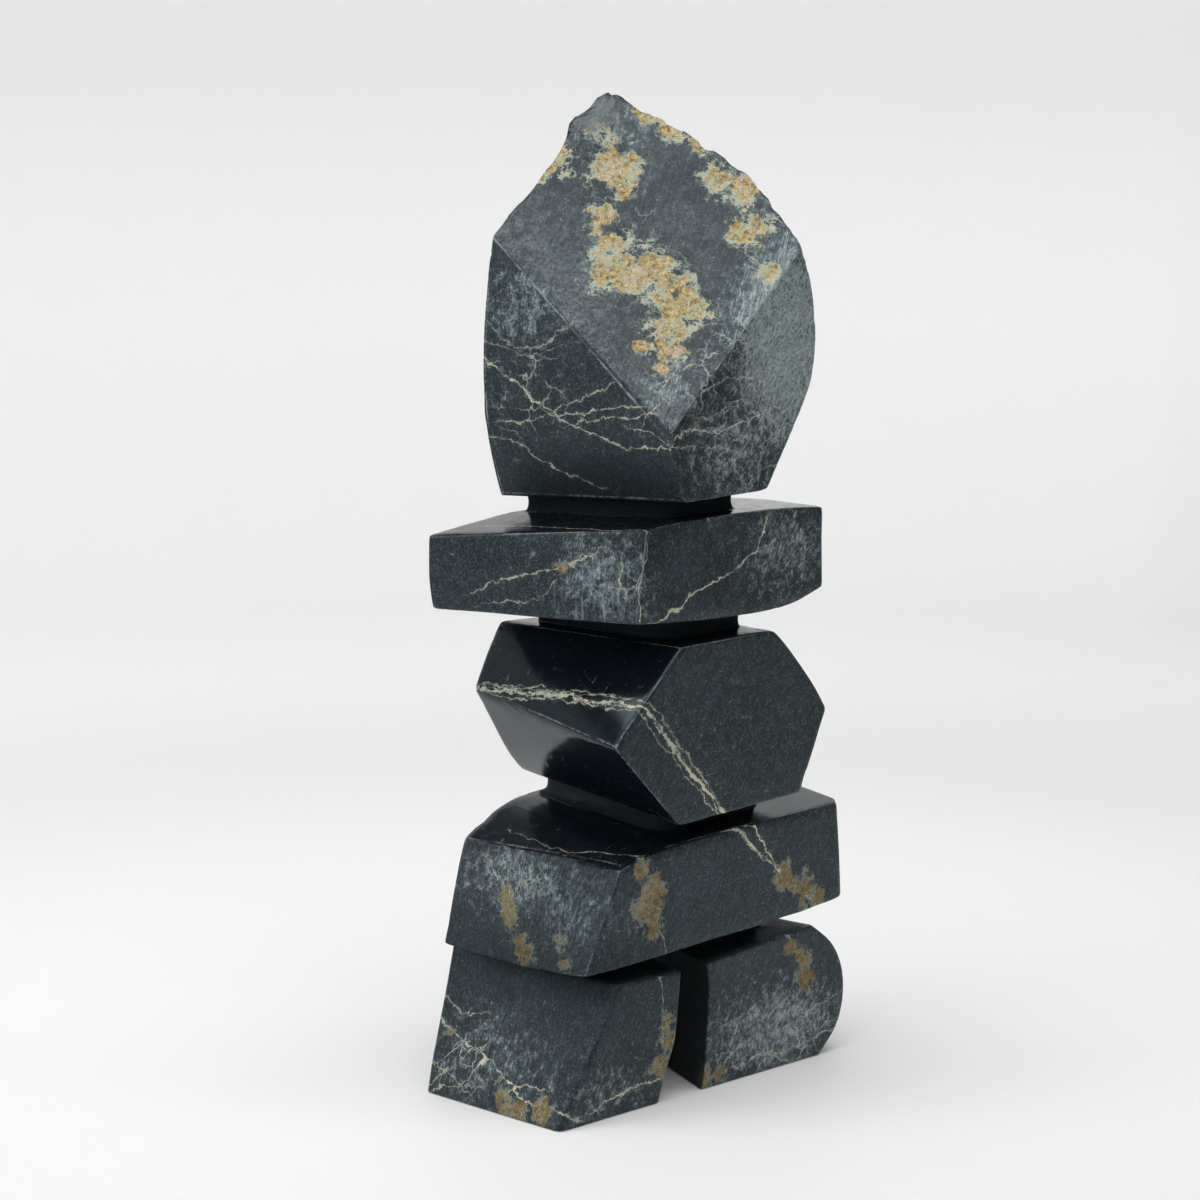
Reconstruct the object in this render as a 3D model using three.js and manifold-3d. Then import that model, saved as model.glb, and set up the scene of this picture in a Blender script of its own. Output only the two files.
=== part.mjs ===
// Inukshuk cairn figure, carved from one block of dark serpentine. Saw cuts divide the block into
// two legs, a hip slab, a belly stone, an arm slab and a head; a neck of stone is left inside every
// cut, so the whole cairn is a single piece. Millimetres, +Z up, front towards -Y.
import * as THREE from 'three';
import { ConvexGeometry } from 'three/addons/geometries/ConvexGeometry.js';
import { mergeVertices, toCreasedNormals } from 'three/addons/utils/BufferGeometryUtils.js';
import Module from 'manifold-3d';

const wasm = await Module();
wasm.setup();

// The sawn block. Corners below are measured from its lower front left corner: right, back, up.
const BLOCK_WIDTH = 141.7;
const BLOCK_DEPTH = 70;

// Heights of the stones, measured on the front face.
const LEG_TOP = 43;
const HIP_BOTTOM = 49;
const HIP_TOP = 88;
const BELLY_BOTTOM = 92;
const BELLY_TOP = 151;
const ARM_BOTTOM = 157;
const ARM_TOP = 192;
const HEAD_BOTTOM = 197;
const HEAD_TOP = 332;

// Facets that meet at more than this angle keep a sharp edge.
const CREASE = THREE.MathUtils.degToRad(6);

// How far a neck stands back from the front face, and how far it flares at both of its ends.
const NECK_SETBACK = 9;
const NECK_FLARE = 2.5;

// The sloping face of the head: its lower tip, its back left corner and its right corner.
const SLOPE_TIP = new THREE.Vector3(49, 0, 218.2);
const SLOPE_LEFT = new THREE.Vector3(37, BLOCK_DEPTH, 283.2);
const SLOPE_RIGHT = new THREE.Vector3(97, 0, 263.3);

// ---- Making solids -----------------------------------------------------------------------------

function toManifold(geometry) {
  geometry.deleteAttribute('normal');
  geometry.deleteAttribute('uv');
  const merged = mergeVertices(geometry, 1e-4);
  const mesh = new wasm.Mesh({
    numProp: 3,
    vertProperties: new Float32Array(merged.attributes.position.array),
    triVerts: new Uint32Array(merged.index.array),
  });
  return new wasm.Manifold(mesh);
}

// A stone with flat facets only: the convex solid with the given corners.
function faceted(corners) {
  return toManifold(new ConvexGeometry(corners.map((c) => new THREE.Vector3(...c))));
}

// A stone with hollow sides: level outlines with equally many points, joined one to the next.
function stacked(outlines) {
  const count = outlines[0].length;
  const index = [];
  for (let i = 1; i < count - 1; i += 1) {
    const top = (outlines.length - 1) * count;
    index.push(0, i + 1, i);
    index.push(top, top + i, top + i + 1);
  }
  for (let level = 0; level < outlines.length - 1; level += 1) {
    for (let i = 0; i < count; i += 1) {
      const a = level * count + i;
      const b = level * count + ((i + 1) % count);
      index.push(a, b, b + count);
      index.push(a, b + count, a + count);
    }
  }
  const geometry = new THREE.BufferGeometry();
  geometry.setAttribute('position', new THREE.Float32BufferAttribute(outlines.flat(2), 3));
  geometry.setIndex(index);
  return toManifold(geometry);
}

// A neck left standing inside a saw cut: a level outline, waisted halfway up.
function neck(outline, from, to) {
  const middle = new THREE.Vector2();
  outline.forEach(([x, y]) => middle.add(new THREE.Vector2(x, y)));
  middle.divideScalar(outline.length);
  const ring = (height, flare) => outline.map(([x, y]) => {
    const out = new THREE.Vector2(x, y).sub(middle);
    const reach = out.length();
    out.setLength(reach + flare).add(middle);
    return [out.x, Math.min(out.y, BLOCK_DEPTH - 2), height];
  });
  const rise = to - from;
  return stacked([
    ring(from - 3, NECK_FLARE),
    ring(from, NECK_FLARE),
    ring(from + rise * 0.3, 0),
    ring(from + rise * 0.7, 0),
    ring(to, NECK_FLARE),
    ring(to + 3, NECK_FLARE),
  ]);
}

// Height of the head's sloping face above a point of the plan.
function slopeHeight(x, y) {
  const normal = SLOPE_LEFT.clone().sub(SLOPE_TIP);
  normal.crossVectors(SLOPE_RIGHT.clone().sub(SLOPE_TIP), normal);
  return SLOPE_TIP.z - (normal.x * (x - SLOPE_TIP.x) + normal.y * (y - SLOPE_TIP.y)) / normal.z;
}

// ---- Legs: the gap between them splays towards the back ------------------------------------------

// The left leg is hollowed on its outer side, where it runs up under the hip slab.
const leftLeg = stacked([
  [[0.4, 0.4, 0], [46, 0.4, 0], [71, 64, 0], [34, 66, 0], [0.4, 64, 0], [0, 32, 0]],
  [[5, 0, 10], [49.3, 0, 10], [73, 65, 10], [35, 68, 10], [3.5, 65, 10], [3, 32, 10]],
  [[12, 0, 20], [53.6, 0, 20], [74, 65, 20], [36, 69, 20], [7.2, 66, 20], [8, 32, 20]],
  [[21, 0, 32], [55.3, 0, 32], [75, 65, 32], [37, 69, 32], [11.4, 66, 32], [15, 32, 32]],
  [[27, 0, LEG_TOP - 1], [56.5, 0, LEG_TOP - 0.6], [76, 65, LEG_TOP + 1], [38, 68, LEG_TOP + 1],
    [16, 66, LEG_TOP + 1], [21.5, 32, LEG_TOP]],
]);

// The right leg bulges outwards at half its height.
const rightLeg = stacked([
  [[66.5, 0.6, 0], [127, 0.6, 0], [129, 4, 0], [122, 60, 0], [92, 62, 0], [79, 29, 0]],
  [[67.3, 0, 5], [133, 0, 5], [134.5, 5, 5], [126, 63, 5], [91, 65, 5], [79.5, 29, 5]],
  [[68, 0, 12], [137, 0, 12], [138, 6, 12], [129, 65, 12], [90, 67, 12], [80, 29, 12]],
  [[69, 0, 24], [139.4, 0, 24], [140, 7, 24], [131, 66, 24], [90, 68, 24], [80, 29, 24]],
  [[69.4, 0, 33], [137, 0, 33], [137.5, 7, 33], [130, 66, 33], [90, 68, 33], [80, 29, 33]],
  [[69, 0, 40], [132.4, 0, 41], [132.8, 7, 41], [127, 66, 41], [90, 68, 41], [80, 29, 41]],
  [[68.4, 0, LEG_TOP], [122, 0, LEG_TOP + 6], [122, 7, LEG_TOP + 6], [120, 64, LEG_TOP + 5],
    [90, 66, LEG_TOP + 2], [80, 29, LEG_TOP + 1]],
]);

// ---- Hip slab: its left side leans in and ends in a narrow bevel -----------------------------------

const hipSlab = faceted([
  [11.2, 0, HIP_BOTTOM - 1.3], [119, 0, HIP_BOTTOM + 1.5], [138.4, 0, HIP_BOTTOM + 3.4],
  [141.7, 6, HIP_BOTTOM + 5.5], [139.5, 66, HIP_BOTTOM + 4], [128, 70, HIP_BOTTOM + 1],
  [12.9, 70, HIP_BOTTOM - 2.7], [11, 40, HIP_BOTTOM - 4.5],
  [29, 0, HIP_TOP - 4.2], [41.7, 0, HIP_TOP - 2], [134.7, 0, HIP_TOP + 1.8],
  [138.4, 3, HIP_TOP + 2.7], [138, 62, HIP_TOP + 9], [131, 69, HIP_TOP + 8.5],
  [21.8, 70, HIP_TOP - 4.9], [28.1, 70, HIP_TOP - 1.1], [43, 70, HIP_TOP + 6.3],
  [52, 70, HIP_TOP + 8.5],
]);

// ---- Belly stone: a six-sided bar lying front to back, its left ridge climbing to the back --------

const bellyStone = faceted([
  [56.2, 0, BELLY_TOP - 0.6], [103.2, 0, BELLY_TOP + 0.7], [129.8, 0, 123.1],
  [115.5, 0, BELLY_BOTTOM + 2.2], [55.2, 0, BELLY_BOTTOM - 1], [24.7, 0, 120.9],
  [39, 70, BELLY_TOP + 2.3], [33.8, 70, 144.6], [27.8, 70, 132.7], [44, 70, 107.5],
  [50, 70, BELLY_BOTTOM + 9.5], [112, 70, BELLY_BOTTOM + 11],
  [127, 68, 126], [121, 69, 143], [104, 70, BELLY_TOP + 2],
]);

// ---- Arm slab: a yawed left end, a chamfered right end ---------------------------------------------

const armSlab = faceted([
  [35, 0.5, ARM_BOTTOM + 0.7], [42, 0, ARM_BOTTOM], [87.8, 0, ARM_BOTTOM - 1],
  [113.4, 0, ARM_BOTTOM + 1.1], [127.4, 0, ARM_BOTTOM + 6.3],
  [9.2, 70, ARM_BOTTOM + 2.7], [7.1, 70, 168.8], [122, 69, ARM_BOTTOM + 2],
  [130, 60, ARM_BOTTOM + 6],
  [40, 0, ARM_TOP - 1.8], [59, 0, ARM_TOP - 0.2], [114.3, 0, ARM_TOP + 1],
  [126, 0, ARM_TOP - 0.2], [130.5, 15, ARM_TOP], [132, 34, ARM_TOP + 0.6],
  [127, 66, ARM_TOP - 1], [110, 70, ARM_TOP], [43.5, 70, ARM_TOP - 0.8],
  [25.9, 70, ARM_TOP - 3.7], [6.8, 70, ARM_TOP - 6.7],
]);

// ---- Head: three sawn facets in front, natural rough stone over the top and down the right --------

const slopeRim = [
  [112.5, 0], [115.4, 10], [115, 16], [112.5, 26], [105.8, 41], [97.2, 57],
  [90, 68.5], [86, BLOCK_DEPTH],
];
const headCorners = [
  [57.2, 0, HEAD_BOTTOM - 0.3], [97.3, 0, HEAD_BOTTOM + 1.5], [107.9, 0, 214.9],
  [114.1, 0, 223.7], [119.9, 0, 235.9], [121.8, 0, 248], [120.2, 0, 262.6],
  [117.3, 0, 273.4],
  [39.9, 70, HEAD_BOTTOM - 1], [33.3, 70, 215], [31.6, 70, 232], [32.6, 70, 255.9],
  [35.6, 70, 279],
  [92, 68, HEAD_BOTTOM + 1], [106, 66, 216], [113, 65, 238], [114, 66, 262],
  [109, 67, 288], [101, 68, 308], [119, 36, 232], [121, 34, 256], [117, 36, 282],
  [100, 36, HEAD_BOTTOM + 3],
  SLOPE_TIP.toArray(), SLOPE_LEFT.toArray(), SLOPE_RIGHT.toArray(),
  [58, 70, 304], [71, 69, 318.5], [77, 67, 326],
  ...slopeRim.map(([x, y]) => [x, y, Math.min(slopeHeight(x, y), HEAD_TOP)]),
];
const head = faceted(headCorners);

// ---- Necks between the stones ----------------------------------------------------------------------

const BACK = 65;
const leftAnkle = neck(
  [[30, 14], [50, NECK_SETBACK + 2], [60, 60], [34, BACK], [19, BACK], [23, 34]],
  LEG_TOP - 1,
  HIP_BOTTOM,
);
const rightAnkle = neck(
  [[78, NECK_SETBACK + 2], [116, NECK_SETBACK], [118, 40], [114, 60], [95, 62], [85, 36]],
  LEG_TOP + 1,
  HIP_BOTTOM + 2,
);
const waist = neck(
  [[56, NECK_SETBACK], [108, NECK_SETBACK], [110, 40], [104, 64], [51, BACK], [53, 38]],
  HIP_TOP + 3,
  BELLY_BOTTOM + 6,
);
const shoulders = neck(
  [[58, NECK_SETBACK + 2], [94, NECK_SETBACK], [100, 36], [96, 60], [54, 62], [52, 36]],
  BELLY_TOP - 1,
  ARM_BOTTOM + 2,
);
const throat = neck(
  [[60, NECK_SETBACK - 2], [90, NECK_SETBACK - 2], [94, 36], [88, 62], [50, BACK], [54, 38]],
  ARM_TOP - 2,
  HEAD_BOTTOM + 1,
);

// ---- One carving -----------------------------------------------------------------------------------

const stones = [rightLeg, hipSlab, bellyStone, armSlab, head];
const necks = [leftAnkle, rightAnkle, waist, shoulders, throat];
let carving = leftLeg;
stones.concat(necks).forEach((solid) => {
  carving = carving.add(solid);
});

const result = carving.getMesh();
const surface = new THREE.BufferGeometry();
surface.setAttribute('position', new THREE.Float32BufferAttribute(result.vertProperties, 3));
surface.setIndex(new THREE.Uint32BufferAttribute(result.triVerts, 1));
surface.translate(-BLOCK_WIDTH / 2, -BLOCK_DEPTH / 2, 0);
const geometry = toCreasedNormals(surface, CREASE);

const serpentine = new THREE.MeshStandardMaterial({
  color: '#262c31',
  roughness: 0.35,
  metalness: 0,
});
serpentine.name = 'serpentine';

const cairn = new THREE.Mesh(geometry, serpentine);
cairn.name = 'cairn_carving';

const group = new THREE.Group();
group.name = 'stone_cairn';
group.add(cairn);

export default group;
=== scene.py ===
import itertools
import math
import bmesh
import bpy
import numpy as np
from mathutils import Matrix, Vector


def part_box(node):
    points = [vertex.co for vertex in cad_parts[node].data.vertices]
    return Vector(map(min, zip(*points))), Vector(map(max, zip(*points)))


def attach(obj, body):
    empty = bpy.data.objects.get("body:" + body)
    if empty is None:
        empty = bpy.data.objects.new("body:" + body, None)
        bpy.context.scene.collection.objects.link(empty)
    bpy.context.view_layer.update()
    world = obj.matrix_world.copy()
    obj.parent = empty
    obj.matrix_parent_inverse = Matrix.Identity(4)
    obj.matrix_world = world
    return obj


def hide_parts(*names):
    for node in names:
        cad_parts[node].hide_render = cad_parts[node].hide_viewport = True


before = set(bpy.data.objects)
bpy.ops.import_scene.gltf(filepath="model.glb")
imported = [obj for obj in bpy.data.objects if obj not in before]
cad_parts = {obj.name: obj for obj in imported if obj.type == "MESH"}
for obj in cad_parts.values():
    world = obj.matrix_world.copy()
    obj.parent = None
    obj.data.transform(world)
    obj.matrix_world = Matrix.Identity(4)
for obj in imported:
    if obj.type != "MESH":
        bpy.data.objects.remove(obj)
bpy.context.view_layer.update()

# ==== The block ====================================================================================
# The figure is carved from one sawn block of dark serpentine, 142 mm wide and 70 mm thick. Every
# place on it is measured in millimetres from the block's lower front left corner: right, back, up.
block_low, block_high = (np.array(corner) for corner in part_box("cairn_carving"))
block_size = (block_high - block_low) * 1000


def in_frame(points):
    """A place in the block, in millimetres, as a place in the frame, in metres."""
    return block_low + np.asarray(points) * 0.001


lattice = np.random.default_rng(11).uniform(-1, 1, (32, 32, 32))


def grain(points, size):
    """Smooth noise from -1 to 1: random values on a cubic lattice with cells of the given size,
    blended between the eight corners of a cell by the S-curve 3t^2 - 2t^3."""
    cell = np.floor(points / size).astype(int)
    t = points / size - cell
    t = t * t * (3 - 2 * t)
    total = np.zeros(len(points))
    for corner in itertools.product((0, 1), repeat=3):
        weight = np.prod(np.where(corner, t, 1 - t), axis=1)
        total += lattice[tuple(((cell + corner) % 32).T)] * weight
    return total


def crag(points, size, octaves):
    """Broken noise: grain at the given size, and at half of it with half its strength, and so on."""
    total = np.zeros(len(points))
    for octave in range(octaves):
        total += grain(points + 17.3 * octave, size / 2**octave) / 2**octave
    return total


# ==== Stones with flat facets ========================================================================
# Hip slab, belly stone, arm slab and head are ground to flat facets that meet in slightly worn
# edges. Each starts as the convex solid of its corners, gridded facet by facet, and is then drawn on
# to a rounded surface that lies just inside its facets.


def facets_of(corners):
    """The outlines of the convex solid's facets, each running anticlockwise seen from outside."""
    solid = bmesh.new()
    for corner in corners:
        solid.verts.new(corner)
    hull = bmesh.ops.convex_hull(solid, input=solid.verts)
    bmesh.ops.delete(solid, geom=hull["geom_interior"], context="VERTS")
    bmesh.ops.dissolve_limit(solid, angle_limit=math.radians(1), verts=solid.verts, edges=solid.edges)
    bmesh.ops.recalc_face_normals(solid, faces=solid.faces)
    outlines = [np.array([vert.co[:] for vert in face.verts]) for face in solid.faces]
    solid.free()
    return outlines


def facet_grid(outline, step, stride):
    """One facet as a grid of rings. The first parameter runs round the outline in equal steps, the
    second from the outline in to the facet's middle, in short steps near the edge and longer ones
    of a stride further in. Returns the points, and the quads and middle triangles that join them."""
    sides = np.roll(outline, -1, axis=0) - outline
    counts = np.maximum(2, np.ceil(np.linalg.norm(sides, axis=1) / step)).astype(int)
    side = np.repeat(np.arange(len(outline)), counts)
    along = np.concatenate([np.arange(count) / count for count in counts])
    rim = outline[side] + sides[side] * along[:, None]
    middle = rim.mean(axis=0)
    reach = np.linalg.norm(rim - middle, axis=1).mean()
    near_rim = [0, 0.5, 1.1, 2, 3.4]
    depths = np.concatenate([near_rim, np.arange(near_rim[-1] + stride, 500, stride)])
    depths = depths[depths < reach * 0.93] / reach
    points = (middle + (rim - middle) * (1 - depths[:, None, None])).reshape(-1, 3)
    points = np.vstack([points, middle])
    ring, around = np.divmod(np.arange(len(rim) * (len(depths) - 1)), len(rim))
    nearby = (around + 1) % len(rim)
    row = ring * len(rim)
    quads = np.stack([row + around, row + nearby, row + nearby + len(rim), row + around + len(rim)], 1)
    last = (len(depths) - 1) * len(rim)
    around = np.arange(len(rim))
    hub = np.full(len(rim), len(points) - 1)
    tips = np.stack([last + around, last + (around + 1) % len(rim), hub], 1)
    return points, quads.tolist(), tips.tolist()


def welded(name, grids):
    """A mesh object from grids, in millimetres, with the points that neighbours share made one."""
    points = np.vstack([grid[0] for grid in grids])
    starts = np.cumsum([0] + [len(grid[0]) for grid in grids])
    faces = []
    for start, grid in zip(starts, grids):
        for group in grid[1:]:
            faces += (np.array(group) + start).tolist()
    mesh = bpy.data.meshes.new(name)
    mesh.from_pydata(points.tolist(), [], faces)
    shell = bmesh.new()
    shell.from_mesh(mesh)
    seams = [vert for vert in shell.verts if vert.is_boundary]
    bmesh.ops.remove_doubles(shell, verts=seams, dist=0.02)
    bmesh.ops.recalc_face_normals(shell, faces=shell.faces)
    shell.to_mesh(mesh)
    shell.free()
    stone = bpy.data.objects.new(name, mesh)
    bpy.context.scene.collection.objects.link(stone)
    return stone


def points_of(stone):
    """The mesh's points as one array."""
    flat = np.empty(len(stone.data.vertices) * 3)
    stone.data.vertices.foreach_get("co", flat)
    return flat.reshape(-1, 3)


def set_points(stone, points):
    """Puts the array's points into the mesh."""
    stone.data.vertices.foreach_set("co", np.ravel(points))
    stone.data.update()


def note(stone, name, values):
    """Keeps one number for each point of the mesh, for the material to read."""
    layer = stone.data.attributes.new(name, "FLOAT", "POINT")
    layer.data.foreach_set("value", np.ravel(values).astype(np.float32))


def settled(points, surface):
    """Draws points on to a surface, given as a function that returns each point's height above it
    and the slope of that height, by Newton steps along the slope."""
    for _ in range(4):
        height, slope = surface(points)
        points = points - slope * (height / (slope**2).sum(axis=1))[:, None]
    return points


def soft_largest(distance, normals, wear):
    """The soft maximum w log(sum(exp(distance / w))) of the distances to facet planes, which is
    zero on a surface with edges rounded about w wide, and its slope."""
    largest = distance.max(axis=1)
    share = np.exp((distance - largest[:, None]) / wear[:, None])
    total = share.sum(axis=1)
    return largest + wear * np.log(total), share @ normals / total[:, None]


edge_reach = 8
run_together = 0.9


def closeness(points, normals, offsets):
    """1 on a sharp edge, falling to 0 at the edge's reach from it: in facet i the line where it meets
    facet j lies (distance i - distance j) / sin(angle between them) away. Facets whose normals'
    cosine is above that of facets that run together have no edge between them."""
    distance = points @ normals.T - offsets
    own = distance.argmax(axis=1)
    cosine = normals @ normals.T
    sine = np.sqrt(np.clip(1 - cosine**2, 1e-6, 1))
    away = (distance.max(axis=1)[:, None] - distance) / sine[own]
    away[cosine[own] > run_together] = 100
    return np.clip(1 - away.min(axis=1) / edge_reach, 0, 1)


def planes_of(outlines):
    """Each facet's outward normal and its distance along that normal."""
    normals = []
    for outline in outlines:
        turn = np.cross(outline, np.roll(outline, -1, axis=0)).sum(axis=0)
        normals.append(turn / np.linalg.norm(turn))
    normals = np.array(normals)
    offsets = np.array([normal @ outline.mean(axis=0) for normal, outline in zip(normals, outlines)])
    return normals, offsets


def families_of(normals):
    """Facets that meet at less than 26 degrees run into each other: one label for each such family,
    and for each family how softly its facets blend, 3 sin(widest angle) millimetres."""
    label = np.arange(len(normals))
    cosine = normals @ normals.T
    for first, second in np.argwhere(cosine > run_together):
        label[label == label[second]] = label[first]
    members = [np.flatnonzero(label == name) for name in np.unique(label)]
    widest = [cosine[np.ix_(own, own)].min() for own in members]
    return members, [0.05 + 3 * math.sqrt(max(0, 1 - cosine**2)) for cosine in widest]


def by_family(distance, normals):
    """The soft maximum over the facet planes of each family: its heights and slopes, in two lists."""
    heights, slopes = [], []
    for own, soft in zip(*families_of(normals)):
        height, slope = soft_largest(distance[:, own], normals[own], np.full(len(distance), soft))
        heights.append(height)
        slopes.append(slope)
    return heights, slopes


def joined(heights, slopes, wear):
    """The soft maximum of several surfaces' heights, with edges about as wide as the wear, and its
    slope, in which each surface's slope has the share e^(height / wear)."""
    heights, slopes = np.stack(heights, 1), np.stack(slopes, 1)
    largest = heights.max(axis=1)
    share = np.exp((heights - largest[:, None]) / wear[:, None])
    total = share.sum(axis=1)
    return largest + wear * np.log(total), np.einsum("ij,ijk->ik", share, slopes) / total[:, None]


def worn(points, wear):
    """How wide the worn edge is at each point: uneven, with a few small nicks."""
    nicks = np.clip(grain(points, 3.1) - 0.45, 0, 1)
    return wear * (1 + 0.4 * grain(points, 9) + 2.2 * nicks)


def ground(points):
    """The faint waves of a surface ground and polished by hand, never proud of the facet."""
    return 0.17 * grain(points, 23) + 0.05 * grain(points, 8) - 0.22


def faceted_stone(name, corners, step, stride, wear):
    """A stone with flat facets: gridded, then drawn on to the soft maximum of its facet planes, which
    is crisp between families of facets and soft within one, and slightly wavy all over."""
    outlines = facets_of(corners)
    stone = welded(name, [facet_grid(outline, step, stride) for outline in outlines])
    normals, offsets = planes_of(outlines)

    def surface(points):
        families = by_family(points @ normals.T - offsets, normals)
        height, slope = joined(*families, worn(points, wear))
        return height - ground(points), slope

    points = settled(points_of(stone), surface)
    set_points(stone, points)
    note(stone, "edge", closeness(points, normals, offsets))
    note(stone, "rind", np.zeros(len(points)))
    return stone


# ---- Hip slab: its left side leans in, under a narrow bevel, and its top rises to the back --------
hip_corners = [
    (11.2, 0, 47.7), (119, 0, 50.5), (138.4, 0, 52.4), (141.7, 6, 54.5), (139.5, 66, 53),
    (128, 70, 50), (12.9, 70, 46.3), (11, 40, 44.5), (29, 0, 83.8), (41.7, 0, 86),
    (134.7, 0, 89.8), (138.4, 3, 90.7), (138, 62, 97), (131, 69, 96.5), (21.8, 70, 83.1),
    (28.1, 70, 86.9), (43, 70, 94.3), (52, 70, 96.5),
]
hip_slab = faceted_stone("hip_slab", hip_corners, step=2.4, stride=5.5, wear=0.45)

# ---- Belly stone: a six-sided bar lying front to back, its left ridge climbing to the back -------
belly_corners = [
    (56.2, 0, 150.4), (103.2, 0, 151.7), (129.8, 0, 123.1), (115.5, 0, 94.2), (55.2, 0, 91),
    (24.7, 0, 120.9), (39, 70, 154.2), (33.8, 70, 144.6), (27.8, 70, 132.7), (44, 70, 107.5),
    (50, 70, 101.5), (112, 70, 103), (127, 68, 126), (121, 69, 143), (104, 70, 153),
]
belly_stone = faceted_stone("belly_stone", belly_corners, step=2.4, stride=5.5, wear=0.4)

# ---- Arm slab: its left end stands askew, its right end is chamfered underneath ------------------
arm_corners = [
    (35, 0.5, 157.7), (42, 0, 157), (87.8, 0, 156), (113.4, 0, 158.1), (127.4, 0, 163.3),
    (9.2, 70, 158.9), (7.1, 70, 168.8), (122, 69, 159), (130, 60, 163), (40, 0, 190.2),
    (59, 0, 191.8), (114.3, 0, 193), (126, 0, 191.8), (130.5, 15, 192), (132, 34, 192.6),
    (127, 66, 191), (110, 70, 192), (43.5, 70, 191.2), (25.9, 70, 188.3), (6.8, 70, 185.3),
]
arm_slab = faceted_stone("arm_slab", arm_corners, step=2.4, stride=5.5, wear=0.4)

# ==== Head ===========================================================================================
# The head keeps the boulder's own rough skin over the top, down the right and on the back. In front
# the saw left one large sloping face and, below it, two faces that meet in a point.
slope_tip = np.array([49, 0, 218.2])
slope_rise = np.array([0.9396, 1.0886])


def on_slope(x, y):
    """The place on the sloping face above a point of the plan."""
    return (x, y, slope_tip[2] + slope_rise[0] * (x - slope_tip[0]) + slope_rise[1] * y)


head_corners = [
    (57.2, 0, 196.7), (97.3, 0, 198.5), (107.9, 0, 214.9), (114.1, 0, 223.7), (119.9, 0, 235.9),
    (121.8, 0, 248), (120.2, 0, 262.6), (117.3, 0, 273.4), (39.9, 70, 196), (33.3, 70, 215),
    (31.6, 70, 232), (32.6, 70, 255.9), (92, 68, 198), (100, 36, 200),
    on_slope(49, 0), on_slope(37, 70), on_slope(97, 0), on_slope(112.5, 0), on_slope(115.4, 10),
    on_slope(115, 16), on_slope(112.5, 26), on_slope(105.8, 41), on_slope(97.2, 57),
    on_slope(88.3, 69.5), (106, 66, 216), (113, 65, 238), (114, 66, 262), (110, 67, 288),
    (101, 68, 310), (119, 36, 232), (121, 34, 256), (118, 36, 282), (84, 70, 324), (60, 70, 301),
]
head_outlines = facets_of(head_corners)
head = welded("head", [facet_grid(outline, step=1.7, stride=2.4) for outline in head_outlines])
head_normals, head_offsets = planes_of(head_outlines)
# The facets that keep the boulder's skin face right or back, and the slope faces up, left and front.
is_skin = (head_normals[:, 0] > 0.25) | (head_normals[:, 1] > 0.3)
slope_faces = np.array([-0.54, -0.62, 0.57])
is_slope = head_normals @ slope_faces > 0.99


def wildness(points):
    """How much of the boulder's skin is left on the back and right: little low down, all on top."""
    rise = (points[:, 2] - 262 + 0.25 * (points[:, 0] - 100)) / 26
    return np.clip(rise, 0, 1) ** 2 * (3 - 2 * np.clip(rise, 0, 1))


def hump(points, middle, reach):
    """A smooth low hump: exp(-(distance / reach)^2) about its middle."""
    return np.exp(-(((points - middle) / reach) ** 2).sum(axis=1))


# Where the ochre crust has broken out of the sloping face and the rim: middle and reach of each pit.
crust = [
    (79, 58, 316, 5), (78, 52, 308, 8), (76, 48, 300, 5), (67, 47, 291, 5), (63, 47, 288, 4),
    (66, 39, 281, 6), (61, 37, 273, 8), (66, 32, 270, 8), (73, 30, 273, 7), (73, 22, 267, 6),
    (73, 17, 261, 7), (77, 14, 259, 5), (67, 15, 254, 6), (63, 12, 246, 5), (58, 11, 240, 3),
    (57, 20, 247, 3),
    (103, 28, 302, 6), (108, 21, 299, 6), (101, 14, 284, 6), (106, 12, 286, 5), (101, 3, 270, 4),
    (96, 55, 323, 5), (101, 47, 319, 5), (106, 38, 313, 4), (63, 68, 309, 6), (58, 67, 304, 3),
    (111, 24, 300, 4),
]


def crusted(points):
    """How deep into an ochre pit: the largest of 1 - distance / reach over all of them."""
    depth = np.full(len(points), -1.0)
    for x, y, z, reach in crust:
        away = np.linalg.norm(points - (x, y, z), axis=1)
        depth = np.maximum(depth, 1 - away / reach)
    return depth


def head_surface(points):
    """The skin facets' soft maximum, broken by crag noise, met crisply by the sawn facets. The sawn
    slope runs out in old broken skin at the top, and the ochre pits are broken into it."""
    distance = points @ head_normals.T - head_offsets
    pits = np.clip(2.2 * crusted(points) + 0.5 * crag(points + 9, 6, 2), 0, 1)
    pits = pits * (0.35 + 0.55 * np.abs(crag(points + 21, 4.2, 2)))
    broken_top = hump(points, (78, 68, 322), (16, 18, 12)) * 0.5 * crag(points + 5, 7, 2)
    distance[:, is_slope] += (pits - broken_top)[:, None]
    wild = wildness(points)
    wild_normals = head_normals[is_skin]
    skin, skin_slope = soft_largest(distance[:, is_skin], wild_normals, 0.6 + 1.2 * wild)
    broken = 1.3 * crag(points, 10, 2) + 1.1 * np.abs(crag(points + 40, 4.4, 3)) - 1.6
    skin = skin + (0.12 + wild) * broken
    heights, slopes = by_family(distance[:, ~is_skin], head_normals[~is_skin])
    wear = worn(points, 0.25) + 0.4 * wild
    height, slope = joined([skin] + heights, [skin_slope] + slopes, wear)
    return height - ground(points), slope


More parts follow.
